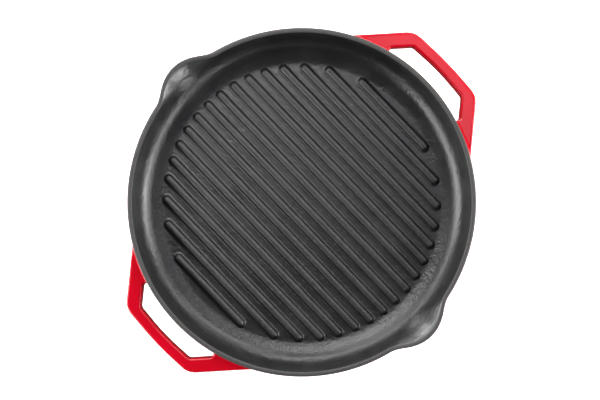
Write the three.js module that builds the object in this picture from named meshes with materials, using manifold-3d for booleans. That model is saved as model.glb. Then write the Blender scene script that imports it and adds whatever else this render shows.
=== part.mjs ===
// Ribbed cast iron grill pan: a round pan with two pouring lips, two loop handles and a floor of
// parallel ribs, matte black inside and gloss red outside. Millimetres, +Z up. The origin is the
// middle of the flat foot. The handles point along X, the lips and the ribs along Y.

import * as THREE from 'three';
import { mergeVertices } from 'three/addons/utils/BufferGeometryUtils.js';
import Module from 'manifold-3d';

const { degToRad } = THREE.MathUtils;

// Pan: the rim and the wall are measured over the red coat
const RIM_DIAMETER = 300;
const PAN_HEIGHT = 34;
const WALL_THICKNESS = 4;
const FLOOR_THICKNESS = 5;
const WALL_LEAN = degToRad(8);
const OUTER_FILLET = 20;
const RIM_ROUNDING = 1.5;
const FOOT_CHAMFER = 1;

// Inside, the floor rises to the wall over four arcs: a fillet, a gentle slope, a bowl and a fillet
const FLOOR_FILLET = 10;
const SLOPE_RADIUS = 55;
const BOWL_RADIUS = 18;
const WALL_FILLET = 8;
const SLOPE_LOW = degToRad(13);
const SLOPE_HIGH = degToRad(19.5);
const BOWL_HIGH = degToRad(65);

// Red coat: it starts above the foot, ends under the rim's edge and lies on a thin ground coat
const COAT_THICKNESS = 0.6;
const GROUND_COAT = 0.1;
const COAT_FOOT_HEIGHT = 1;
const COAT_RIM_DROP = 2;

// Pouring lips: the wall swings out above LIP_START, most at the rim, and LIP_BLEND softens the creases
const LIP_REACH = 10.5;
const LIP_WIDTH = 58;
const LIP_NECK = 8;
const LIP_START = 11.5;
const LIP_FLARE = 1.2;
const LIP_BLEND = 0.4;

// Ribs: low ridges with a round crest and straight flanks, which stay clear of the floor's slope
const RIB_PITCH = 14.1;
const RIB_HEIGHT = 3.5;
const RIB_CREST_RADIUS = 4;
const RIB_FLANK = degToRad(58);
const RIB_SHORTEST = 60;
const RIB_SLOPE_CLEARANCE = 0.6;

// Loop handles: a bowed bar held by two slanting sides
const FINGER_GAP = 16;
const BAR_WIDTH = 9.5;
const BAR_SPAN = 77.6;
const BAR_BOW = 2.2;
const SIDE_WIDTH = 12.6;
const ROOT_SPAN = 160;
const HANDLE_THICKNESS = 13;
const HANDLE_RIM_DROP = 6;
const HANDLE_EDGE = 1.8;
const HANDLE_OUTER_ROUNDING = 18;
const HANDLE_INNER_ROUNDING = 5;
const HANDLE_ROOT_ROUNDING = 3.8;
const HANDLE_WALL_CLEARANCE = 0.3;

// Facets: COLUMNS go round the pan, and CROWDING draws them together at the lips
const COLUMNS = 80;
const CROWDING = 0.25;
const FILLET_STEPS = 6;
const SLOPE_STEPS = 2;
const WALL_STEPS = 5;
const ROUNDING_STEPS = 3;
const CREST_STEPS = 4;
const RIB_COLUMNS = 12;

const RIM_RADIUS = RIM_DIAMETER / 2;
const COAT_TOP = PAN_HEIGHT - COAT_RIM_DROP;
const RIB_FLANK_HEIGHT = RIB_HEIGHT - RIB_CREST_RADIUS * (1 - Math.cos(RIB_FLANK));
const RIB_HALF_WIDTH = RIB_CREST_RADIUS * Math.sin(RIB_FLANK) + RIB_FLANK_HEIGHT / Math.tan(RIB_FLANK);
const HANDLE_TOP = PAN_HEIGHT - HANDLE_RIM_DROP;
const HANDLE_BOTTOM = HANDLE_TOP - HANDLE_THICKNESS;

const blackIron = new THREE.MeshStandardMaterial({ color: 0x2a2a2b, roughness: 0.75, metalness: 0.3 });
const redEnamel = new THREE.MeshStandardMaterial({ color: 0xc4081e, roughness: 0.15, metalness: 0 });

const wasm = await Module();
wasm.setup();

const point = (x, y) => new THREE.Vector2(x, y);

// Points at even angles on an arc of a profile, the angle measured from straight down
function arcPoints(centreRadius, centreHeight, radius, from, to, steps) {
  return Array.from({ length: steps + 1 }, (_, i) => {
    const angle = from + (to - from) * i / steps;
    return point(centreRadius + radius * Math.sin(angle), centreHeight - radius * Math.cos(angle));
  });
}

// Points of arcs that run on into each other from a first point, each given as
// [radius, start angle, end angle, steps]
function arcChain(start, arcs) {
  const points = [start];
  arcs.forEach(([radius, from, to, steps]) => {
    const joint = points.at(-1);
    const centreRadius = joint.x - radius * Math.sin(from);
    const centreHeight = joint.y + radius * Math.cos(from);
    points.push(...arcPoints(centreRadius, centreHeight, radius, from, to, steps).slice(1));
  });
  return points;
}

// Radius of the leaning wall at a height, at a depth under the red coat's outer face
function wallRadius(height, depth) {
  return RIM_RADIUS - (PAN_HEIGHT - height) * Math.tan(WALL_LEAN) - depth / Math.cos(WALL_LEAN);
}

// Points along the straight wall after its first height
function wallPoints(from, to, depth) {
  return Array.from({ length: WALL_STEPS }, (_, i) => {
    const height = from + (to - from) * (i + 1) / WALL_STEPS;
    return point(wallRadius(height, depth), height);
  });
}

// A fillet meets the wall where both have the same slope, and its centre lies its radius from both
const tangentAngle = Math.PI / 2 - WALL_LEAN;
const outerCentre = wallRadius(OUTER_FILLET, OUTER_FILLET);
const outerWallFoot = OUTER_FILLET * (1 - Math.cos(tangentAngle));
const coatDepth = GROUND_COAT + COAT_THICKNESS;
const coatStart = Math.acos((OUTER_FILLET - COAT_FOOT_HEIGHT) / OUTER_FILLET);
const ironStart = Math.acos((OUTER_FILLET - COAT_FOOT_HEIGHT) / (OUTER_FILLET - coatDepth));

// The inner slope as it rises from the floor's edge. The wall that it ends at sets the floor's radius.
const slope = arcChain(point(0, FLOOR_THICKNESS), [
  [FLOOR_FILLET, 0, SLOPE_LOW, SLOPE_STEPS],
  [SLOPE_RADIUS, SLOPE_LOW, SLOPE_HIGH, SLOPE_STEPS],
  [BOWL_RADIUS, SLOPE_HIGH, BOWL_HIGH, FILLET_STEPS],
  [WALL_FILLET, BOWL_HIGH, tangentAngle, SLOPE_STEPS],
]);
const slopeTop = slope.at(-1);
const floorRadius = wallRadius(slopeTop.y, WALL_THICKNESS) - slopeTop.x;

// Outer fillet and wall up to the coat's top, at a depth under the coat's outer face
function outerFace(depth, startAngle) {
  const radius = OUTER_FILLET - depth;
  return [
    ...arcPoints(outerCentre, OUTER_FILLET, radius, startAngle, tangentAngle, FILLET_STEPS),
    ...wallPoints(outerWallFoot, COAT_TOP, depth),
  ];
}

// The same face carried on to the rim's height
function fullOuterFace(depth, startAngle) {
  return [...outerFace(depth, startAngle), point(wallRadius(PAN_HEIGHT, depth), PAN_HEIGHT)];
}

// Outward swing of the wall at a lip: a parabola across, which widens and reaches out towards the rim
// and whose two feet are blended into the round wall
function lipSwing(x, height) {
  const rise = Math.max(0, (height - LIP_START) / (PAN_HEIGHT - LIP_START));
  const halfWidth = (LIP_NECK + (LIP_WIDTH - LIP_NECK) * rise) / 2;
  const bulge = 1 - (x / halfWidth) ** 2;
  const foot = Math.max(0, bulge + LIP_BLEND) ** 2 / (4 * LIP_BLEND);
  return LIP_REACH * rise ** LIP_FLARE * (bulge > LIP_BLEND ? bulge : foot);
}

// Solid of revolution about Z, whose columns crowd at the lips
function turnedWithLips(profile) {
  const geometry = new THREE.LatheGeometry(profile, COLUMNS).rotateX(Math.PI / 2);
  const position = geometry.attributes.position;
  for (let i = 0; i < position.count; i += 1) {
    const radius = Math.hypot(position.getX(i), position.getY(i));
    const even = Math.atan2(position.getY(i), position.getX(i));
    const angle = even + CROWDING * Math.sin(2 * even);
    const x = radius * Math.cos(angle);
    const y = radius * Math.sin(angle);
    position.setXY(i, x, y + Math.sign(y) * lipSwing(x, position.getZ(i)));
  }
  return geometry;
}

// Cast body: foot, outer face under the coat, rim over the coat's edge, inner wall, slope and floor
function panBody() {
  const outside = outerFace(coatDepth, ironStart);
  const ledge = COAT_TOP + GROUND_COAT;
  const rimEdge = PAN_HEIGHT - RIM_ROUNDING;
  const outerRound = wallRadius(rimEdge, 0) - RIM_ROUNDING;
  const innerRound = wallRadius(rimEdge, WALL_THICKNESS) + RIM_ROUNDING;
  return turnedWithLips([
    point(0, 0),
    point(outside[0].x - FOOT_CHAMFER, 0),
    ...outside,
    point(wallRadius(ledge, coatDepth), ledge),
    point(wallRadius(ledge, 0), ledge),
    ...arcPoints(outerRound, rimEdge, RIM_ROUNDING, Math.PI / 2, Math.PI, ROUNDING_STEPS),
    ...arcPoints(innerRound, rimEdge, RIM_ROUNDING, Math.PI, Math.PI * 3 / 2, ROUNDING_STEPS),
    ...wallPoints(rimEdge, slopeTop.y, WALL_THICKNESS).slice(0, -1),
    ...slope.map(({ x, y }) => point(floorRadius + x, y)).reverse(),
    point(0, FLOOR_THICKNESS),
  ]);
}

// One rib: a stud with flat sides, pulled apart along Y so that its ends stay rounded
function rib(endCentre) {
  const crest = arcPoints(
    0, RIB_HEIGHT - RIB_CREST_RADIUS, RIB_CREST_RADIUS, Math.PI - RIB_FLANK, Math.PI, CREST_STEPS);
  const profile = [point(0, 0), point(RIB_HALF_WIDTH, 0), ...crest.slice(0, -1), point(0, RIB_HEIGHT)];
  const halfColumn = Math.PI / RIB_COLUMNS;
  const acrossFlats = 1 / Math.cos(halfColumn);
  const geometry = new THREE.LatheGeometry(profile, RIB_COLUMNS, halfColumn);
  geometry.rotateX(Math.PI / 2).scale(acrossFlats, acrossFlats, 1);
  const position = geometry.attributes.position;
  for (let i = 0; i < position.count; i += 1) {
    position.setY(i, position.getY(i) + Math.sign(position.getY(i)) * endCentre);
  }
  return geometry;
}

// Closed outline through corners given as [corner, radius]. A radius of 0 keeps the corner sharp.
// The first corner is a rounded one.
function roundedOutline(corners) {
  const outline = new THREE.Shape();
  corners.forEach(([corner, radius], i) => {
    if (radius === 0) {
      outline.lineTo(corner.x, corner.y);
      return;
    }
    const before = corners.at(i - 1)[0].clone().sub(corner).normalize();
    const after = corners[(i + 1) % corners.length][0].clone().sub(corner).normalize();
    const halfAngle = Math.acos(before.dot(after)) / 2;
    const centre = before.clone().add(after).setLength(radius / Math.sin(halfAngle));
    const start = before.setLength(radius / Math.tan(halfAngle)).sub(centre);
    const end = after.setLength(radius / Math.tan(halfAngle)).sub(centre);
    const clockwise = start.cross(end) < 0;
    centre.add(corner);
    outline.absarc(centre.x, centre.y, radius, start.angle(), end.angle(), clockwise);
  });
  return outline;
}

// Middle of the bar's edge with the arc that bows it, which takes up half of each half bar
function bowedMiddle(x, corner) {
  const halfBar = Math.hypot(x - corner.x, corner.y);
  return [point(x, 0), halfBar / 2 * corner.y / (x - corner.x)];
}

// Round end of the finger gap: where its circle touches the wall, and the corner that it rounds.
// The corner lies on the handle's inner side and on the wall's tangent at that point.
function roundedRoot(corner, along, inward, wall) {
  const start = corner.clone().addScaledVector(inward, HANDLE_ROOT_ROUNDING);
  const nearest = -start.dot(along);
  const reach = wall + HANDLE_ROOT_ROUNDING;
  const halfChord = Math.sqrt(nearest ** 2 - start.lengthSq() + reach ** 2);
  const centre = start.clone().addScaledVector(along, nearest - halfChord);
  const toWall = centre.clone().normalize().negate();
  const toSide = inward.clone().negate();
  const offset = HANDLE_ROOT_ROUNDING / (1 + toWall.dot(toSide));
  return [
    centre.clone().setLength(wall),
    centre.clone().addScaledVector(toWall, offset).addScaledVector(toSide, offset),
  ];
}

// Outline of the loop handle on the +X side. Its ends reach through the wall.
function handleOutline() {
  const wall = wallRadius((HANDLE_TOP + HANDLE_BOTTOM) / 2, 0);
  const through = 1 - 2 * WALL_THICKNESS / wall;
  const barInner = RIM_RADIUS + FINGER_GAP;
  const barOuter = barInner + BAR_WIDTH;
  const outerRoot = point(Math.sqrt(wall ** 2 - (ROOT_SPAN / 2) ** 2), ROOT_SPAN / 2);
  const outerCorner = point(barOuter - BAR_BOW, BAR_SPAN / 2);
  const along = outerRoot.clone().sub(outerCorner).normalize();
  const inward = point(-along.y, along.x);
  const innerSide = outerCorner.clone().addScaledVector(inward, SIDE_WIDTH);
  const cornerStep = (barInner - BAR_BOW - innerSide.x) / along.x;
  const innerCorner = innerSide.clone().addScaledVector(along, cornerStep);
  const [innerRoot, rootCorner] = roundedRoot(innerCorner, along, inward, wall);
  const upper = [
    [outerCorner, HANDLE_OUTER_ROUNDING],
    [outerRoot, 0],
    [outerRoot.clone().multiplyScalar(through), 0],
    [innerRoot.clone().multiplyScalar(through), 0],
    [innerRoot, 0],
    [rootCorner, HANDLE_ROOT_ROUNDING],
    [innerCorner, HANDLE_INNER_ROUNDING],
  ];
  const lower = upper.map(([corner, radius]) => [point(corner.x, -corner.y), radius]).reverse();
  return roundedOutline([
    ...upper,
    bowedMiddle(barInner, innerCorner),
    ...lower,
    bowedMiddle(barOuter, outerCorner),
  ]);
}

// Closed geometry as a solid for cutting: bare positions, shared vertices, no collapsed triangles
function solidOf(geometry) {
  const bare = new THREE.BufferGeometry();
  bare.setAttribute('position', geometry.attributes.position);
  bare.setIndex(geometry.index);
  const merged = mergeVertices(bare, 1e-3);
  const { array } = merged.index;
  const triangles = [];
  for (let i = 0; i < array.length; i += 3) {
    const [a, b, c] = array.slice(i, i + 3);
    if (a !== b && b !== c && c !== a) {
      triangles.push(a, b, c);
    }
  }
  return new wasm.Manifold(new wasm.Mesh({
    numProp: 3,
    vertProperties: new Float32Array(merged.attributes.position.array),
    triVerts: new Uint32Array(triangles),
  }));
}

function geometryOf(solid) {
  const mesh = solid.getMesh();
  const geometry = new THREE.BufferGeometry();
  geometry.setAttribute('position', new THREE.BufferAttribute(mesh.vertProperties, 3));
  geometry.setIndex(new THREE.BufferAttribute(mesh.triVerts, 1));
  geometry.computeVertexNormals();
  return geometry;
}

// Solid of everything that a face of the wall goes round
function filled(face) {
  return solidOf(turnedWithLips([point(0, face[0].y), ...face, point(0, face.at(-1).y)]));
}

// Red coat: a thin shell round the iron's outer face
function exteriorEnamel() {
  const iron = filled(fullOuterFace(COAT_THICKNESS, ironStart));
  return geometryOf(filled(outerFace(0, coatStart)).subtract(iron));
}

// Loop handle: its outline with rounded edges, cut off at the wall
function loopHandle() {
  const bar = new THREE.ExtrudeGeometry(handleOutline(), {
    depth: HANDLE_THICKNESS - 2 * HANDLE_EDGE,
    curveSegments: ROUNDING_STEPS,
    bevelThickness: HANDLE_EDGE,
    bevelSize: HANDLE_EDGE,
    bevelOffset: -HANDLE_EDGE,
    bevelSegments: ROUNDING_STEPS,
  });
  bar.translate(0, 0, HANDLE_BOTTOM + HANDLE_EDGE);
  const wall = filled(fullOuterFace(-HANDLE_WALL_CLEARANCE, coatStart));
  return geometryOf(solidOf(bar).subtract(wall));
}

const pan = new THREE.Group();

function addMesh(name, geometry, material) {
  const mesh = new THREE.Mesh(geometry, material);
  mesh.name = name;
  pan.add(mesh);
  return mesh;
}

addMesh('pan_body', panBody(), blackIron);
addMesh('exterior_enamel', exteriorEnamel(), redEnamel);

const handle = loopHandle();
addMesh('handle_right', handle, redEnamel);
addMesh('handle_left', handle, redEnamel).rotation.z = Math.PI;

// Ribs side by side, as many as the floor holds. Each rounded end touches one circle on the floor.
const endCircle = floorRadius - RIB_SLOPE_CLEARANCE - RIB_HALF_WIDTH;
const ribsPerSide = Math.floor(Math.sqrt(endCircle ** 2 - (RIB_SHORTEST / 2) ** 2) / RIB_PITCH);
for (let k = -ribsPerSide; k <= ribsPerSide; k += 1) {
  const x = k * RIB_PITCH;
  const name = `grill_rib_${String(k + ribsPerSide + 1).padStart(2, '0')}`;
  addMesh(name, rib(Math.sqrt(endCircle ** 2 - x ** 2)), blackIron).position.set(x, 0, FLOOR_THICKNESS);
}

export default pan;
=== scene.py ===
# %% [markdown]
# # A ribbed cast iron grill pan
# The real pan is one iron casting. A matte black coat covers its inside, its rim and its foot, and a
# gloss red coat covers the outer wall and the two loop handles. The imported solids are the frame: every
# piece below is drawn in metres in that same frame and stands where its solid stands.

import bmesh
import bpy
import numpy as np
from mathutils import Matrix, Vector


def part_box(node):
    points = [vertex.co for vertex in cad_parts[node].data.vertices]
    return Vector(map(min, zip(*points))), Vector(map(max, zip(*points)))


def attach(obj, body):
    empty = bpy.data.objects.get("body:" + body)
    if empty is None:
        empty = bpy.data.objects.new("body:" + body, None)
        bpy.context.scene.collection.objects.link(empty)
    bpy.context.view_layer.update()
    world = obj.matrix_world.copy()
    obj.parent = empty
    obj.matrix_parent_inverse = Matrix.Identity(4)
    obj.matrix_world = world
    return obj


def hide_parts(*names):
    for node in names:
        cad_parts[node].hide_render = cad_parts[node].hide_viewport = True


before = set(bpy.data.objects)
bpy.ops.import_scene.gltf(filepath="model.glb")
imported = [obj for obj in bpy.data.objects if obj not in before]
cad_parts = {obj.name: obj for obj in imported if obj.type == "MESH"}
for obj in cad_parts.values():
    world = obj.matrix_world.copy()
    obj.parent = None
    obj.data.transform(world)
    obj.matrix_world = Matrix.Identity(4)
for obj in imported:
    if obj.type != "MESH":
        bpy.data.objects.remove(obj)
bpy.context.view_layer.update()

# %% [markdown]
# ## From a grid of points to a mesh
# Every piece of this pan is a surface over two parameters, such as "how far along the profile" and "how
# far round". Blender could make them with its screw and bevel tools, but then the shape hides in a stack
# of settings. Here numpy works out all the points at once as a grid, and the quads between neighbours
# make the mesh. A grid can wrap round in either direction. Where many points fall together, as at the
# middle of the floor, they are merged, and an open end is closed by one lid, so that each piece is a
# watertight skin with its faces outwards. Marks are numbers kept at each point, which the finishes read
# later: how bare the iron is there, or how thin the enamel ran.

# %% Grid to mesh
MM = 0.001
MERGE_DISTANCE = 0.001 * MM
pieces = {"black_iron": [], "red_enamel": []}


def grid_piece(name, points, marks, wrap_rows=False, first_lid=False, last_lid=False):
    """Mesh over points[row, column]: the columns wrap round, the rows wrap or get lids if asked.

    marks gives, for each attribute name, values that spread over the same grid."""
    rows, columns = points.shape[:2]
    number = np.arange(rows * columns).reshape(rows, columns)
    ahead = np.roll(number, -1, axis=1)
    quads = np.stack([number, ahead, np.roll(ahead, -1, axis=0), np.roll(number, -1, axis=0)], axis=-1)
    quads = quads if wrap_rows else quads[:-1]
    faces = quads.reshape(-1, 4).tolist()
    if first_lid:
        faces.append(number[0, ::-1].tolist())
    if last_lid:
        faces.append(number[-1].tolist())
    mesh = bpy.data.meshes.new(name)
    mesh.from_pydata(points.reshape(-1, 3).tolist(), [], faces)
    for label, values in marks.items():
        layer = mesh.attributes.new(label, "FLOAT", "POINT")
        layer.data.foreach_set("value", np.broadcast_to(values, (rows, columns)).astype(np.float32).ravel())
    work = bmesh.new()
    work.from_mesh(mesh)
    bmesh.ops.remove_doubles(work, verts=work.verts, dist=MERGE_DISTANCE)
    work.to_mesh(mesh)
    work.free()
    mesh.shade_smooth()
    piece = bpy.data.objects.new(name, mesh)
    bpy.context.scene.collection.objects.link(piece)
    return piece


def dress(piece, node, slot):
    """The piece stands for a solid of the frame, moves with the pan and takes that solid's finish."""
    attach(piece, "root")
    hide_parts(node)
    pieces[slot].append(piece)
    print(f"{piece.name}: {len(piece.data.polygons)} faces for {node}")


# %% [markdown]
# ## The casting
# A pattern maker turns the bowl's shape on a lathe, and the foundry casts it in sand. The same works
# here: one profile goes from the middle of the foot up the outside, over the rim and down the inside to
# the middle of the floor, and is carried round the axis. The wall leans out by a few degrees so that the
# pattern leaves the sand. Four arcs that run on from each other lead from the floor to the wall: a wide
# fillet, a long flat slope, a tighter curve, which is where the light catches the bowl, and a fillet.

# %% Sizes of the bowl
RIM_RADIUS = 150 * MM
RIM_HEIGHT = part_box("pan_body")[1].z
WALL = 4 * MM
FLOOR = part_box("grill_rib_09")[0].z
LEAN = np.radians(8)
STEEPEST = np.pi / 2 - LEAN
OUTER_FILLET = 20 * MM
FLOOR_FILLET, SLOPE_RADIUS, BOWL_RADIUS, WALL_FILLET = 20 * MM, 55 * MM, 16.5 * MM, 23 * MM
SLOPE_LOW, SLOPE_HIGH, BOWL_HIGH = np.radians((13, 19.5, 46))
COAT_DEPTH = 0.7 * MM


def wall_radius(height, depth):
    """Radius of the leaning wall at a height, at a depth under the red coat's outer face."""
    return RIM_RADIUS - (RIM_HEIGHT - height) * np.tan(LEAN) - depth / np.cos(LEAN)


def arc(centre_radius, centre_height, radius, start, end, count):
    """Profile points (radius, height) at even angles on an arc, the angle counted from straight down."""
    angle = np.linspace(start, end, count)
    return np.stack([centre_radius + radius * np.sin(angle), centre_height - radius * np.cos(angle)], -1)


def wall_line(low, high, depth, count):
    """Profile points at even heights on the leaning wall."""
    height = np.linspace(low, high, count)
    return np.stack([wall_radius(height, depth), height], -1)


def level_line(start, end, height, count):
    """Profile points at even radii on a level line."""
    return np.stack([np.linspace(start, end, count), np.full(count, height)], -1)


def arc_after(points, radius, start, end, count):
    """The points so far and an arc that runs on from the last one in the same direction."""
    last = points[-1]
    centre = last[0] - radius * np.sin(start), last[1] + radius * np.cos(start)
    return np.concatenate([points, arc(*centre, radius, start, end, count)[1:]])


outer_centre = wall_radius(OUTER_FILLET, OUTER_FILLET)
outer_top = OUTER_FILLET * (1 - np.cos(STEEPEST))
slope = np.array([[0, FLOOR]])
slope = arc_after(slope, FLOOR_FILLET, 0, SLOPE_LOW, 9)
slope = arc_after(slope, SLOPE_RADIUS, SLOPE_LOW, SLOPE_HIGH, 11)
slope = arc_after(slope, BOWL_RADIUS, SLOPE_HIGH, BOWL_HIGH, 17)
slope = arc_after(slope, WALL_FILLET, BOWL_HIGH, STEEPEST, 13)
inner_top = slope[-1, 1]
floor_edge = wall_radius(inner_top, WALL) - slope[-1, 0]
slope[:, 0] += floor_edge
print(f"floor {2000 * floor_edge:.1f} mm across, wall upright above {1000 * inner_top:.1f} mm")

# %% [markdown]
# ## Pouring lips
# Two lips let fat run off. Each is a scoop like part of a cone: it starts at a narrow neck part way up the
# wall, and from there it widens evenly and reaches out ever faster up to the rim. Across the lip the swing
# follows a parabola, and where the parabola runs into the round wall a short curve blends the two, which
# gives the crease that each side of a real lip has. Because the swing is a formula, the same one moves
# the black casting and the red coat, and they stay together.

# %% The lips' swing
LIP_REACH = 10.9 * MM
LIP_WIDTH = 59.5 * MM
LIP_NECK = 14 * MM
LIP_START = 14.5 * MM
LIP_FLARE = 1.5
LIP_BLEND = 0.4
COLUMNS = 384
CROWDING = 0.25


def lip_swing(x, height):
    """Outward swing: reach x rise^flare x a parabola across, blended to zero at its two feet."""
    rise = np.clip((height - LIP_START) / (RIM_HEIGHT - LIP_START), 0, 1)
    half_width = (LIP_NECK + (LIP_WIDTH - LIP_NECK) * rise) / 2
    bulge = 1 - (x / half_width) ** 2
    foot = np.clip(bulge + LIP_BLEND, 0, None) ** 2 / (4 * LIP_BLEND)
    return LIP_REACH * rise**LIP_FLARE * np.where(bulge > LIP_BLEND, bulge, foot)


def turned(profile):
    """Profile (radius, height) carried round Z; the columns crowd at the lips, which swing out along Y."""
    even = np.linspace(0, 2 * np.pi, COLUMNS, endpoint=False)
    angle = even + CROWDING * np.sin(2 * even)
    x = profile[:, :1] * np.cos(angle)
    y = profile[:, :1] * np.sin(angle)
    z = np.broadcast_to(profile[:, 1:], x.shape)
    return np.stack([x, y + np.sign(y) * lip_swing(x, z), z], axis=-1)


# %% [markdown]
# ## The rim
# The rim is fettled by hand after casting, which leaves a shallow crown between two tight edges. The
# crown is one wide arc, and each edge is a small arc from the crown's tilt to the wall. On the outside
# the rim comes flush with the red coat that ends under it. This is also where tools and lids rub the
# coat, so it is marked as exposed.

# %% The rim's line
RIM_CROWN = np.radians(24)
RIM_EDGE = 0.7 * MM
RUB_DEPTH = 0.3 * MM

rim_outer, rim_inner = wall_radius(RIM_HEIGHT, 0), wall_radius(RIM_HEIGHT, WALL)
rim_middle, rim_half = (rim_outer + rim_inner) / 2, (rim_outer - rim_inner) / 2
crown_radius = RIM_EDGE + (rim_half - RIM_EDGE) / np.sin(RIM_CROWN)
edge_height = RIM_HEIGHT - crown_radius + (crown_radius - RIM_EDGE) * np.cos(RIM_CROWN)
crown_low, crown_high = np.pi - RIM_CROWN, np.pi + RIM_CROWN
rim_line = np.concatenate([
    arc(rim_outer - RIM_EDGE, edge_height, RIM_EDGE, np.pi / 2, crown_low, 7),
    arc(rim_middle, RIM_HEIGHT - crown_radius, crown_radius, crown_low, crown_high, 11)[1:-1],
    arc(rim_inner + RIM_EDGE, edge_height, RIM_EDGE, crown_high, np.pi * 3 / 2, 7),
])
print(f"rim: {2000 * rim_half:.2f} mm of iron, crowned to a radius of {1000 * crown_radius:.1f} mm")

# %% [markdown]
# ## The casting's skin
# On the outside the iron lies under the red coat, and below the rim a small ledge covers the coat's upper
# edge. The foot has a rounded edge, because a sharp one would chip. The outside, the rim and the inside
# make one line, and carrying it round the axis gives the whole casting as one skin.

# %% The casting's profile
FOOT_EDGE = 1 * MM
LEDGE = RIM_HEIGHT - 1.6 * MM
LEDGE_DEPTH, LEDGE_RISE, LEDGE_TOP = 0.3 * MM, 0.05 * MM, 0.3 * MM

iron_low = np.arccos((OUTER_FILLET - FOOT_EDGE) / (OUTER_FILLET - COAT_DEPTH))
foot_edge = outer_centre + (OUTER_FILLET - COAT_DEPTH) * np.sin(iron_low)
foot_flat = foot_edge - FOOT_EDGE
outside = np.concatenate([
    level_line(0, foot_flat, 0, 24),
    arc(foot_flat, FOOT_EDGE, FOOT_EDGE, 0, np.pi / 4, 5)[1:],
    arc(outer_centre, OUTER_FILLET, OUTER_FILLET - COAT_DEPTH, iron_low, STEEPEST, 20),
    wall_line(outer_top, LEDGE, COAT_DEPTH, 16)[1:],
    [[wall_radius(LEDGE, LEDGE_DEPTH), LEDGE + LEDGE_RISE], [wall_radius(LEDGE, 0), LEDGE + LEDGE_TOP]],
])
inside = np.concatenate([
    wall_line(edge_height, inner_top, WALL, 20)[1:],
    slope[-2::-1],
    level_line(floor_edge, 0, FLOOR, 40)[1:],
])
rim_bare = np.clip((rim_line[:, 1] - edge_height) / RUB_DEPTH, 0, 1)
exposed = np.concatenate([np.zeros(len(outside)), rim_bare, np.zeros(len(inside))])
casting = grid_piece(
    "pan_casting", turned(np.concatenate([outside, rim_line, inside])), {"exposed": exposed[:, None]})
dress(casting, "pan_body", "black_iron")

# %% [markdown]
# ## The red coat
# The enamel is sprayed on and fired. It is a little over half a millimetre thick, starts just above the
# foot and ends under the rim, and surface tension draws its edges round. Its profile is a thin closed
# loop: up the outer face, over a rounded edge, down the inner face, and round again. Enamel runs thin at
# such edges and shows the dark ground under it, so they are marked as thin.

# %% The coat's profile
COAT = 0.6 * MM
COAT_LOW = 1 * MM
COAT_HIGH = RIM_HEIGHT - 2 * MM
COAT_OVERLAP = 0.12 * MM
THIN_REACH = 0.8 * MM


def coat_face(depth):
    """Fillet and wall at a depth, from the coat's foot up to its upper edge."""
    return np.concatenate([
        arc(outer_centre, OUTER_FILLET, OUTER_FILLET - depth, coat_low, STEEPEST, 20),
        wall_line(outer_top, COAT_HIGH, depth, 24)[1:],
    ])


coat_low = np.arccos((OUTER_FILLET - COAT_LOW) / OUTER_FILLET)
bead = (COAT + COAT_OVERLAP) / 2
bead_angle = np.linspace(0, np.pi, 7)[1:-1]
top_edge = np.stack([
    wall_radius(COAT_HIGH, bead) + bead * np.cos(bead_angle),
    COAT_HIGH + bead * np.sin(bead_angle),
], -1)
loop = np.concatenate([coat_face(0), top_edge, coat_face(2 * bead)[::-1]])
from_edge = np.minimum(COAT_HIGH + bead - loop[:, 1], loop[:, 1] - COAT_LOW)
thin = np.exp(-np.clip(from_edge, 0, None) / THIN_REACH)
coat = grid_piece("red_coat", turned(loop), {"thin": thin[:, None]}, wrap_rows=True)
dress(coat, "exterior_enamel", "red_enamel")

# %% [markdown]
# ## The loop handles
# Each handle is a bar that stands off the wall, bowed a little, between two slanting sides. Two lines
# seen from above describe it, the outer outline and the inner one, each a run of straights with rounded
# corners. The inner one ends in a small arc where the finger gap comes under the rim. At every step along
# them a section with rounded edges spans from one line to the other. Near the wall the section swells by
# a quarter circle, which makes the fillet that a casting has there.

# %% The outlines
handle_low, handle_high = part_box("handle_right")
BAR_INNER = RIM_RADIUS + 16 * MM
BAR_OUTER = BAR_INNER + 9.5 * MM
BAR_SPAN = 77.6 * MM
BAR_BOW = 2.2 * MM
SIDE_WIDTH = 12.6 * MM
ROOT_SPAN = 160 * MM
ROOT_DEPTH = 1 * MM
OUTER_CORNER, INNER_CORNER, ROOT_CORNER = 18 * MM, 5 * MM, 3.1 * MM
SIDE_STEPS, CORNER_STEPS, BAR_STEPS, BOW_STEPS, ROOT_STEPS = 40, 25, 12, 41, 17
handle_middle = (handle_low.z + handle_high.z) / 2
handle_half = (handle_high.z - handle_low.z) / 2


def unit(vector):
    """The vector at length one."""
    return vector / np.linalg.norm(vector)


def straight(start, end, count):
    """Even points from start up to, but without, end."""
    return start + (end - start) * np.linspace(0, 1, count, endpoint=False)[:, None]


def swung(centre, start, end, count):
    """Points on the arc about a centre from start to end, turning evenly."""
    first, last = start - centre, end - centre
    sweep = np.arccos(np.dot(first, last) / np.dot(first, first))
    turn = np.linspace(0, sweep, count)[:, None]
    return centre + (np.sin(sweep - turn) * first + np.sin(turn) * last) / np.sin(sweep)


def rounded_corner(before, corner, after, radius, count):
    """Points on the arc that touches both sides of a corner, turning from one to the other."""
    back, on = unit(before - corner), unit(after - corner)
    half = np.arccos(np.dot(back, on)) / 2
    centre = corner + unit(back + on) * radius / np.sin(half)
    touch = radius / np.tan(half)
    return swung(centre, corner + touch * back, corner + touch * on, count)


def to_circle(start, direction, radius):
    """The point where a line from start in a direction first meets a circle about the origin."""
    nearest = -np.dot(start, direction)
    half_chord = np.sqrt(nearest**2 - np.dot(start, start) + radius**2)
    return start + direction * (nearest - half_chord)


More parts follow.
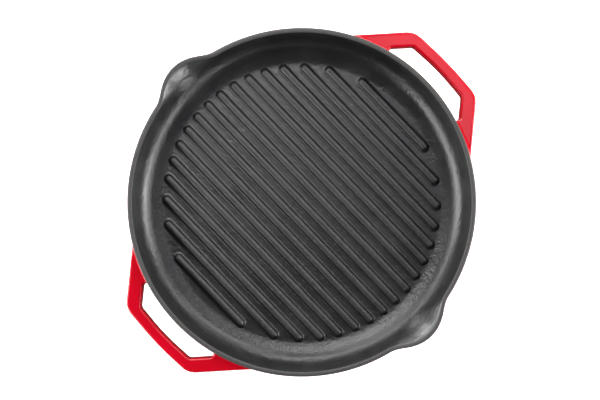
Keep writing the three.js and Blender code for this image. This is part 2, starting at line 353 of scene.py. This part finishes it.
def loop_line(root, corner, middle, corner_radius):
    """Half an outline: the root's points, the side, the corner and the bowed bar, then its mirror image."""
    half_bar = np.linalg.norm(middle - corner)
    bow_radius = half_bar / 2 * corner[1] / (middle[0] - corner[0])
    bend = rounded_corner(root[-1], corner, middle, corner_radius, CORNER_STEPS)
    bow = rounded_corner(corner, middle, corner * [1, -1], bow_radius, BOW_STEPS)
    side, bar = straight(root[-1], bend[0], SIDE_STEPS), straight(bend[-1], bow[0], BAR_STEPS)
    half = np.concatenate([root[:-1], side, bend[:-1], bar, bow[:BOW_STEPS // 2 + 1]])
    return np.concatenate([half, half[-2::-1] * [1, -1]])


wall_there = wall_radius(handle_middle, 0)
outer_corner = np.array([BAR_OUTER - BAR_BOW, BAR_SPAN / 2])
outer_touch = np.array([np.sqrt(wall_there**2 - (ROOT_SPAN / 2) ** 2), ROOT_SPAN / 2])
along = unit(outer_touch - outer_corner)
inward = np.array([-along[1], along[0]])
inner_side = outer_corner + SIDE_WIDTH * inward
inner_corner = inner_side + along * (BAR_INNER - BAR_BOW - inner_side[0]) / along[0]

# %% The roots of the outlines
gap_end = to_circle(inner_corner + ROOT_CORNER * inward, along, RIM_RADIUS + ROOT_CORNER)
gap_touch = RIM_RADIUS * unit(gap_end)
side_start = gap_end - ROOT_CORNER * inward
buried = (wall_there - ROOT_DEPTH) * unit(gap_end)
inner_root = np.concatenate([buried[None], swung(gap_end, gap_touch, side_start, ROOT_STEPS)])
outer_buried = to_circle(outer_corner, along, wall_there - ROOT_DEPTH)
outer_side_start = side_start - SIDE_WIDTH * inward
outer_run = straight(outer_buried, outer_side_start, ROOT_STEPS)
outer_root = np.concatenate([outer_run, outer_side_start[None]])
outer_line = loop_line(outer_root, outer_corner, np.array([BAR_OUTER, 0]), OUTER_CORNER)
inner_line = loop_line(inner_root, inner_corner, np.array([BAR_INNER, 0]), INNER_CORNER)
print(f"handle: {len(outer_line)} sections, finger gap {1000 * (BAR_INNER - RIM_RADIUS):.1f} mm")

# %% The section along the outlines
HANDLE_EDGE = 1.9 * MM
FLAT_STEPS, EDGE_STEPS = 7, 7
ROOT_FILLET = 3.2 * MM


def rounded_section(flat_count, edge_count):
    """Section of unit half sizes as (side, up) plus the outward (side, up) of each point.

    Four quarter circles stand at the corners and flat runs lie between them, counter-clockwise."""
    quarter = np.linspace(0, np.pi / 2, edge_count)
    run = np.linspace(1, -1, flat_count + 2)[1:-1]
    first_corner = np.stack([np.ones(edge_count), np.ones(edge_count), np.cos(quarter), np.sin(quarter)], -1)
    first_flat = np.stack([run, np.ones(flat_count), np.zeros(flat_count), np.ones(flat_count)], -1)
    side = np.concatenate([first_corner, first_flat]).reshape(-1, 2, 2)
    quarter_turn = np.array([[0, 1], [-1, 0]])
    turns = [side @ np.linalg.matrix_power(quarter_turn, i) for i in range(4)]
    return np.concatenate(turns).reshape(-1, 4).T


def loop_handle(name, turn):
    """Sections between the two outlines, swollen at the wall, turned half round for the second handle."""
    side, up, face_side, face_up = rounded_section(FLAT_STEPS, EDGE_STEPS)
    middle = (outer_line + inner_line) / 2
    reach = (outer_line - inner_line) / 2
    half_width = np.linalg.norm(reach, axis=1)
    outward = reach / half_width[:, None]
    across = side * (half_width - HANDLE_EDGE)[:, None] + HANDLE_EDGE * face_side
    rise = up * (handle_half - HANDLE_EDGE) + HANDLE_EDGE * face_up
    plan = middle[:, None, :] + outward[:, None, :] * across[:, :, None]
    gap = np.linalg.norm(plan, axis=-1) - wall_radius(handle_middle + rise, 0)
    near = np.clip(ROOT_FILLET - gap, 0, ROOT_FILLET)
    swell = ROOT_FILLET - np.sqrt(ROOT_FILLET**2 - near**2)
    plan = plan + outward[:, None, :] * (swell * np.maximum(face_side, 0))[:, :, None]
    z = handle_middle + rise + swell * face_up
    depth_limit = (wall_radius(z, 0) - ROOT_DEPTH) / np.linalg.norm(plan, axis=-1)
    plan = plan * np.maximum(depth_limit, 1)[:, :, None]
    points = np.concatenate([plan * turn, z[:, :, None]], axis=-1)
    edge = 2 * np.abs(face_side * face_up)
    return grid_piece(name, points, {"thin": edge}, first_lid=True, last_lid=True)


for node, turn in (("handle_right", 1), ("handle_left", -1)):
    dress(loop_handle("loop_" + node, turn), node, "red_enamel")

# %% [markdown]
# ## The ribs
# The ribs lift the food off its fat and brand the stripes. Each is a low, soft ridge: a round crest runs
# into a somewhat tighter fillet, where it grows out of the floor. Its half section is a line
# from the foot up to the ridge, and it is carried round the rib's spine: straight along both sides and in
# a half circle round each end. The food and the spatula polish the crest, so it is marked as exposed.

# %% The rib's half section
RIB_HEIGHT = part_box("grill_rib_09")[1].z - FLOOR
RIB_CREST, RIB_FILLET = 3.6 * MM, 2.6 * MM
RIB_STEEPEST = np.arccos(1 - RIB_HEIGHT / (RIB_CREST + RIB_FILLET))
RIB_SINK = 0.3 * MM
RIB_BARE = 0.4
RIB_STEPS, END_STEPS, RUN_STEPS = 11, 25, 24


def rib_section():
    """Half section (distance from the spine, height): sunk foot, fillet arc, crest arc up to the ridge."""
    tilt = np.linspace(0, RIB_STEEPEST, RIB_STEPS)
    foot = (RIB_CREST + RIB_FILLET) * np.sin(RIB_STEEPEST)
    sunk = np.array([[foot, -RIB_SINK]])
    fillet = np.stack([foot - RIB_FILLET * np.sin(tilt), RIB_FILLET * (1 - np.cos(tilt))], -1)
    crest = np.stack([RIB_CREST * np.sin(tilt), RIB_HEIGHT - RIB_CREST * (1 - np.cos(tilt))], -1)
    return np.concatenate([sunk, fillet, crest[-2::-1]])


def rib(name, x, half_length):
    """The half section carried round the spine: a half circle at each end, straight between them."""
    section = rib_section()
    half_turn, along_run = np.linspace(0, np.pi, END_STEPS), np.full(RUN_STEPS, np.pi)
    run = np.linspace(half_length, -half_length, RUN_STEPS + 2)[1:-1]
    at_end = np.full(END_STEPS, half_length)
    turn = np.concatenate([half_turn, along_run, half_turn + np.pi, 2 * along_run])
    end = np.concatenate([at_end, run, -at_end, run[::-1]])
    spread, height = section[:, :1], section[:, 1:]
    points = np.stack([
        x + spread * np.cos(turn), end + spread * np.sin(turn),
        np.broadcast_to(FLOOR + height, (len(section), len(turn)))], axis=-1)
    bare = RIB_BARE * np.clip(2 * height / RIB_HEIGHT - 1, 0, 1)
    return grid_piece(name, points, {"exposed": bare}, first_lid=True)


# %% One rib for each solid
for node in sorted(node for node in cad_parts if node.startswith("grill_rib")):
    low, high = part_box(node)
    half_width = (high.x - low.x) / 2
    piece = rib(node.replace("grill_", ""), (low.x + high.x) / 2, (high.y - low.y) / 2 - half_width)
    dress(piece, node, "black_iron")

# %% [markdown]
# ## Building finishes from nodes
# A finish could be painted into an image, but then it has one resolution and needs a file. Shader nodes
# work it out at every point instead, from the point's place in the pan's own coordinates. Four effects
# serve both finishes and differ only in their numbers, so each is a node group with named sockets:
# the grain of the surface, slow drifts of tone, wear along marked edges, and stray pinholes.

# %% Helpers for node trees
NOISE_LOW, NOISE_HIGH = 0.3, 0.7


def wire(tree, socket, value):
    """A number or colour is set on the socket, and another node's output is joined to it."""
    if isinstance(value, bpy.types.NodeSocket):
        tree.links.new(value, socket)
    else:
        socket.default_value = value


def add_node(tree, kind, inputs=(), **settings):
    """A node with its settings, and its inputs by name or number wired to what is given."""
    node = tree.nodes.new("ShaderNode" + kind)
    for key, value in settings.items():
        setattr(node, key, value)
    for key, value in dict(inputs).items():
        wire(tree, node.inputs[key], value)
    return node


def calc(tree, operation, *values):
    """One Math node on numbers or outputs; returns its result."""
    return add_node(tree, "Math", enumerate(values), operation=operation).outputs[0]


def remap(tree, value, low, high, to_low, to_high):
    """Value from one range to another, with smooth ends and nothing beyond them."""
    ends = {"Value": value, "From Min": low, "From Max": high, "To Min": to_low, "To Max": to_high}
    return add_node(tree, "MapRange", ends, interpolation_type="SMOOTHSTEP").outputs[0]


def blend(tree, factor, first, second):
    """Colour between two, by a factor."""
    node = add_node(tree, "Mix", {0: factor, 6: first, 7: second}, data_type="RGBA")
    return node.outputs[2]


def new_group(name, inputs, outputs):
    """An empty node group with number sockets; returns its tree, what it is given and what it gives."""
    tree = bpy.data.node_groups.new(name, "ShaderNodeTree")
    for label, value in inputs.items():
        socket = tree.interface.new_socket(label, in_out="INPUT", socket_type="NodeSocketFloat")
        socket.default_value = value
    for label in outputs:
        tree.interface.new_socket(label, in_out="OUTPUT", socket_type="NodeSocketFloat")
    given = tree.nodes.new("NodeGroupInput").outputs
    result = tree.nodes.new("NodeGroupOutput").inputs
    return tree, given, result


def place_group(tree, group, **values):
    """A group placed in a material with its own values, a socket's spaces written as underscores."""
    node = tree.nodes.new("ShaderNodeGroup")
    node.node_tree = group
    for label, value in values.items():
        wire(tree, node.inputs[label.replace("_", " ")], value)
    return node.outputs


def noise(tree, size, detail=2.0):
    """Noise between 0 and 1 with bumps about as wide as size, in the pan's own coordinates."""
    place = add_node(tree, "TexCoord").outputs["Object"]
    scale = calc(tree, "DIVIDE", 1.0, size)
    return add_node(tree, "TexNoise", {"Vector": place, "Scale": scale, "Detail": detail}).outputs[0]


# %% The grain group
grain_group, given, result = new_group(
    "surface_grain",
    {"Grain Size": 1.3 * MM, "Grain Depth": 0.03 * MM, "Lump Size": 4 * MM, "Lump Depth": 0.08 * MM},
    ["Height", "Speckle"])
speckle = noise(grain_group, given["Grain Size"])
lumps = noise(grain_group, given["Lump Size"], detail=1.0)
fine_height = calc(grain_group, "MULTIPLY", speckle, given["Grain Depth"])
lump_height = calc(grain_group, "MULTIPLY", lumps, given["Lump Depth"])
wire(grain_group, result["Height"], calc(grain_group, "ADD", fine_height, lump_height))
wire(grain_group, result["Speckle"], remap(grain_group, speckle, NOISE_LOW, NOISE_HIGH, 0.0, 1.0))
print("group:", grain_group.name)

# %% The drift group
drift_group, given, result = new_group("tone_drift", {"Size": 30 * MM}, ["Drift"])
clouds = noise(drift_group, given["Size"], detail=3.0)
wire(drift_group, result["Drift"], remap(drift_group, clouds, NOISE_LOW, NOISE_HIGH, 0.0, 1.0))
print("group:", drift_group.name)

# %% The wear group
WEAR_SWING, WEAR_LEAST = 1.2, 0.4

wear_group, given, result = new_group("edge_wear", {"Edge": 0.0, "Size": 5 * MM, "Spread": 0.4}, ["Wear"])
patches = noise(wear_group, given["Size"], detail=3.0)
broken = calc(wear_group, "MULTIPLY_ADD", patches, WEAR_SWING, WEAR_LEAST)
rubbed = calc(wear_group, "MULTIPLY", broken, given["Edge"])
wire(wear_group, result["Wear"], remap(wear_group, rubbed, 0.0, given["Spread"], 0.0, 1.0))
print("group:", wear_group.name)

# %% The pinhole group
pin_group, given, result = new_group(
    "pinholes", {"Spacing": 9 * MM, "Radius": 0.5 * MM, "Share": 0.1}, ["Pit"])
cells = add_node(pin_group, "TexVoronoi", {
    "Vector": add_node(pin_group, "TexCoord").outputs["Object"],
    "Scale": calc(pin_group, "DIVIDE", 1.0, given["Spacing"])})
away = calc(pin_group, "MULTIPLY", cells.outputs["Distance"], given["Spacing"])
chance = add_node(pin_group, "SeparateColor", {"Color": cells.outputs["Color"]}).outputs[0]
picked = calc(pin_group, "LESS_THAN", chance, given["Share"])
dimple = remap(pin_group, away, 0.0, given["Radius"], 1.0, 0.0)
wire(pin_group, result["Pit"], calc(pin_group, "MULTIPLY", dimple, picked))
print("group:", pin_group.name)

# %% [markdown]
# ## The black coat
# The inside has a matte black enamel over sand-cast iron. Seen close, the sand's grain shows through as
# fine bumps that break a highlight into specks. The tone drifts a little from place to place, and on the
# rim and the ribs' crests the coat is rubbed to a paler, warmer and duller grey. The ground foot keeps
# faint rings from the lathe, worked out from the distance to the axis and faded out above the foot's plane.

# %% The black coat's nodes
BLACK, BLACK_PALE, BARE = (0.008, 0.008, 0.009, 1), (0.013, 0.013, 0.013, 1), (0.026, 0.025, 0.024, 1)
BLACK_IOR = 1.65
BLACK_ROUGHNESS, BARE_ROUGHER = (0.28, 0.35), 0.28
SPECKLE_SHARE = 0.4
BLACK_PIT_DEPTH = 0.15 * MM
RING_PITCH, RING_DEPTH, RING_FADE = 1.1 * MM, 0.012 * MM, (0.1 * MM, 0.4 * MM)


def new_material(name):
    """A material with its node tree and its shader."""
    material = bpy.data.materials.new(name)
    material.use_nodes = True
    return material, material.node_tree, material.node_tree.nodes["Principled BSDF"]


def foot_rings(tree):
    """Height of the lathe's rings: a sine of the distance to the axis, only in the foot's plane."""
    x, y, z = add_node(tree, "SeparateXYZ", {0: add_node(tree, "TexCoord").outputs["Object"]}).outputs
    squares = calc(tree, "ADD", calc(tree, "MULTIPLY", x, x), calc(tree, "MULTIPLY", y, y))
    wave = calc(tree, "SINE", calc(tree, "MULTIPLY", calc(tree, "SQRT", squares), 2 * np.pi / RING_PITCH))
    flat = remap(tree, z, *RING_FADE, RING_DEPTH, 0.0)
    return calc(tree, "MULTIPLY", wave, flat)


black, tree, shader = new_material("black_coat")
shader.inputs["IOR"].default_value = BLACK_IOR
bare_mark = add_node(tree, "Attribute", attribute_name="exposed").outputs["Fac"]
grain = place_group(tree, grain_group, Grain_Size=1.6 * MM, Grain_Depth=0.2 * MM, Lump_Size=5 * MM,
                    Lump_Depth=0.25 * MM)
drift = place_group(tree, drift_group, Size=28 * MM)["Drift"]
bare = place_group(tree, wear_group, Edge=bare_mark, Size=4 * MM, Spread=0.9)["Wear"]
pit = place_group(tree, pin_group, Spacing=7 * MM, Radius=0.6 * MM, Share=0.07)["Pit"]
tone = blend(tree, drift, BLACK, BLACK_PALE)
tone = blend(tree, bare, tone, BARE)
wire(tree, shader.inputs["Base Color"], blend(tree, pit, tone, BLACK))
uneven = calc(tree, "MULTIPLY_ADD", grain["Speckle"], SPECKLE_SHARE, drift)
dull = remap(tree, uneven, 0.0, 1 + SPECKLE_SHARE, *BLACK_ROUGHNESS)
wire(tree, shader.inputs["Roughness"], calc(tree, "MULTIPLY_ADD", bare, BARE_ROUGHER, dull))
height = calc(tree, "ADD", grain["Height"], foot_rings(tree))
height = calc(tree, "MULTIPLY_ADD", pit, -BLACK_PIT_DEPTH, height)
bump = add_node(tree, "Bump", {"Height": height, "Distance": 1.0})
wire(tree, shader.inputs["Normal"], bump.outputs[0])
print("finish:", black.name, len(tree.nodes), "nodes")

# %% [markdown]
# ## The red enamel
# Fired enamel is a deep glass: its colour hardly changes, its gloss is sharp, and it has the slow waves
# that painters call orange peel. Along edges it runs thin over its dark ground and turns a shade deeper,
# and here and there a gas bubble leaves a pinhole. The same groups give all of that with other numbers.

# %% The red enamel's nodes
RED, RED_DEEP, GROUND = (0.51, 0.001, 0.013, 1), (0.46, 0.001, 0.010, 1), (0.30, 0.004, 0.007, 1)
GROUND_SHOW = 0.12
RED_ROUGHNESS = 0.11, 0.16
RED_PIT_DEPTH = 0.2 * MM

red, tree, shader = new_material("red_enamel")
thin_mark = add_node(tree, "Attribute", attribute_name="thin").outputs["Fac"]
peel = place_group(tree, grain_group, Grain_Size=5 * MM, Grain_Depth=0.03 * MM, Lump_Size=16 * MM,
                   Lump_Depth=0.1 * MM)
drift = place_group(tree, drift_group, Size=40 * MM)["Drift"]
thin_run = place_group(tree, wear_group, Edge=thin_mark, Size=9 * MM, Spread=1.6)["Wear"]
pit = place_group(tree, pin_group, Spacing=14 * MM, Radius=0.7 * MM, Share=0.12)["Pit"]
tone = blend(tree, drift, RED, RED_DEEP)
tone = blend(tree, calc(tree, "MULTIPLY", thin_run, GROUND_SHOW), tone, GROUND)
wire(tree, shader.inputs["Base Color"], blend(tree, pit, tone, GROUND))
wire(tree, shader.inputs["Roughness"], remap(tree, drift, 0.0, 1.0, *RED_ROUGHNESS))
height = calc(tree, "MULTIPLY_ADD", pit, -RED_PIT_DEPTH, peel["Height"])
bump = add_node(tree, "Bump", {"Height": height, "Distance": 1.0})
wire(tree, shader.inputs["Normal"], bump.outputs[0])
print("finish:", red.name, len(tree.nodes), "nodes")

# %% Finishes onto the pieces
for slot, material in (("black_iron", black), ("red_enamel", red)):
    for piece in pieces[slot]:
        piece.data.materials.append(material)
    print(material.name, "on", len(pieces[slot]), "pieces")

# %% [markdown]
# ## The table
# The pan stands on a table of plain pale paper, so wide that its edges stay out of the picture. A glow that
# only the camera sees burns the paper out to white, as an over-exposed backdrop does. In the gloss of the
# enamel the table is almost dark, as if seen through a photographer's polarising filter.

# %% The table's plane
TABLE_SIZE = 30
TABLE_GLOW = 1
PAPER, PAPER_IN_GLOSS = (0.9, 0.9, 0.9, 1), (0.05, 0.05, 0.05, 1)
PAPER_ROUGHNESS = 0.9

bpy.ops.mesh.primitive_plane_add(size=TABLE_SIZE, location=(0, 0, 0))
table = bpy.context.object
table.name = "table"
white, tree, shader = new_material("white_table")
shader.inputs["Roughness"].default_value = PAPER_ROUGHNESS
path = add_node(tree, "LightPath").outputs
paper = blend(tree, path["Is Glossy Ray"], PAPER, PAPER_IN_GLOSS)
wire(tree, shader.inputs["Base Color"], paper)
glow = blend(tree, path["Is Camera Ray"], (0, 0, 0, 1), (1, 1, 1, 1))
wire(tree, shader.inputs["Emission Color"], glow)
shader.inputs["Emission Strength"].default_value = TABLE_GLOW
table.data.materials.append(white)

# %% [markdown]
# ## The camera
# The picture is taken from almost straight above. Its right and its up are turned by about 44 degrees
# against the pan's axes, so that the ribs run from the upper left to the lower right.

# %% The camera
PICTURE_TURN, CAMERA_TILT = np.radians((43.796, 1.5))
CAMERA_HEIGHT = 0.85
TARGET_RIGHT, TARGET_UP = -1.47 * MM, 1.23 * MM
SENSOR_WIDTH, LENS = 36, 59.42


def toward_angle(first, second, angle):
    """Direction that lies at an angle from the first of two directions towards the second."""
    return float(np.cos(angle)) * first + float(np.sin(angle)) * second


ACROSS, ALONG, UPRIGHT = Vector((1, 0, 0)), Vector((0, 1, 0)), Vector((0, 0, 1))
picture_right = toward_angle(ACROSS, -ALONG, PICTURE_TURN)
picture_up = toward_angle(ALONG, ACROSS, PICTURE_TURN)
rim_centre = Vector((0, 0, RIM_HEIGHT))
target = rim_centre + TARGET_RIGHT * picture_right + TARGET_UP * picture_up
camera_data = bpy.data.cameras.new("camera")
camera_data.sensor_width = SENSOR_WIDTH
camera_data.lens = LENS
camera = bpy.data.objects.new("camera", camera_data)
bpy.context.scene.collection.objects.link(camera)
back = toward_angle(UPRIGHT, -picture_up, CAMERA_TILT)
camera_up = toward_angle(picture_up, UPRIGHT, CAMERA_TILT)
camera.matrix_world = Matrix.Translation(target + CAMERA_HEIGHT * back) @ Matrix(
    (picture_right, camera_up, back)).transposed().to_4x4()
bpy.context.scene.camera = camera

# %% [markdown]
# ## The lights
# A matte black bowl shows only what its gloss reflects, so the softboxes draw it. Each one faces the pan
# from the same distance and is placed like a star: by its direction in the picture, counted from the
# right, and by its height above the table in degrees. Its power follows from how bright its face is. Low
# strips all round stand for the lit paper where it curves up beyond the table. The lips and the upper
# wall reflect them, and the two strips in line with the lips are the brightest.

# %% The softboxes
LIGHT_DISTANCE = 1.5


def softbox(name, direction, rise, size, brightness, tint=(1, 1, 1)):
    """A rectangular area light that faces the pan; power = brightness x pi^2 x width x height."""
    level = toward_angle(picture_right, picture_up, np.radians(direction))
    toward = toward_angle(level, UPRIGHT, np.radians(rise))
    data = bpy.data.lights.new(name, "AREA")
    data.shape = "RECTANGLE"
    data.size, data.size_y = size
    data.energy = brightness * np.pi**2 * size[0] * size[1]
    data.color = tint
    light = bpy.data.objects.new(name, data)
    light.matrix_world = Matrix.Translation(rim_centre + LIGHT_DISTANCE * toward) @ \
        toward.to_track_quat("Z", "Y").to_matrix().to_4x4()
    bpy.context.scene.collection.objects.link(light)
    print(f"{name}: {data.energy:.1f} W")


softbox("overhead", 112, 65, (0.6, 0.4), 3)
softbox("overhead_right", 45, 77, (0.45, 0.45), 0.5, (0.96, 0.92, 1))
softbox("back_right", 60, 40, (0.7, 0.45), 1.9)
softbox("back_left", 120, 40, (0.7, 0.45), 1.5)
softbox("low_back", 100, 14, (1.7, 0.5), 1.4)
softbox("right_low", 0, 8, (0.8, 0.25), 6)
softbox("right_mid", 0, 24, (0.8, 0.3), 2.2)
softbox("right_high", 0, 40, (0.8, 0.3), 1.6)
softbox("right_back", 38, 14, (0.6, 0.4), 1.3)
softbox("right_front", 330, 20, (0.5, 0.5), 1.7)
softbox("left_low", 180, 8, (0.8, 0.25), 4)
softbox("left_mid", 180, 24, (0.8, 0.3), 2.5)
softbox("left_high", 180, 40, (0.8, 0.3), 0.8)
softbox("left_back", 150, 18, (0.5, 0.4), 1.8)
softbox("left_front", 210, 28, (0.5, 0.4), 2.7)
softbox("left_front_low", 210, 10, (0.5, 0.25), 2.4)

# %% The low strips and the room
STRIP_RISE, STRIP_SIZE = 2.8, (0.8, 0.12)
STRIP_BRIGHTNESS = 7, 3, 5, 11, 7, 5, 1, 11
ROOM_LIGHT = 0.05

for direction, brightness in zip(range(0, 360, 45), STRIP_BRIGHTNESS):
    softbox(f"strip_{direction}", direction, STRIP_RISE, STRIP_SIZE, brightness)
world = bpy.data.worlds.new("room")
world.use_nodes = True
world.node_tree.nodes["Background"].inputs["Color"].default_value = (1, 1, 1, 1)
world.node_tree.nodes["Background"].inputs["Strength"].default_value = ROOM_LIGHT
bpy.context.scene.world = world
bpy.context.scene.view_settings.view_transform = "Standard"
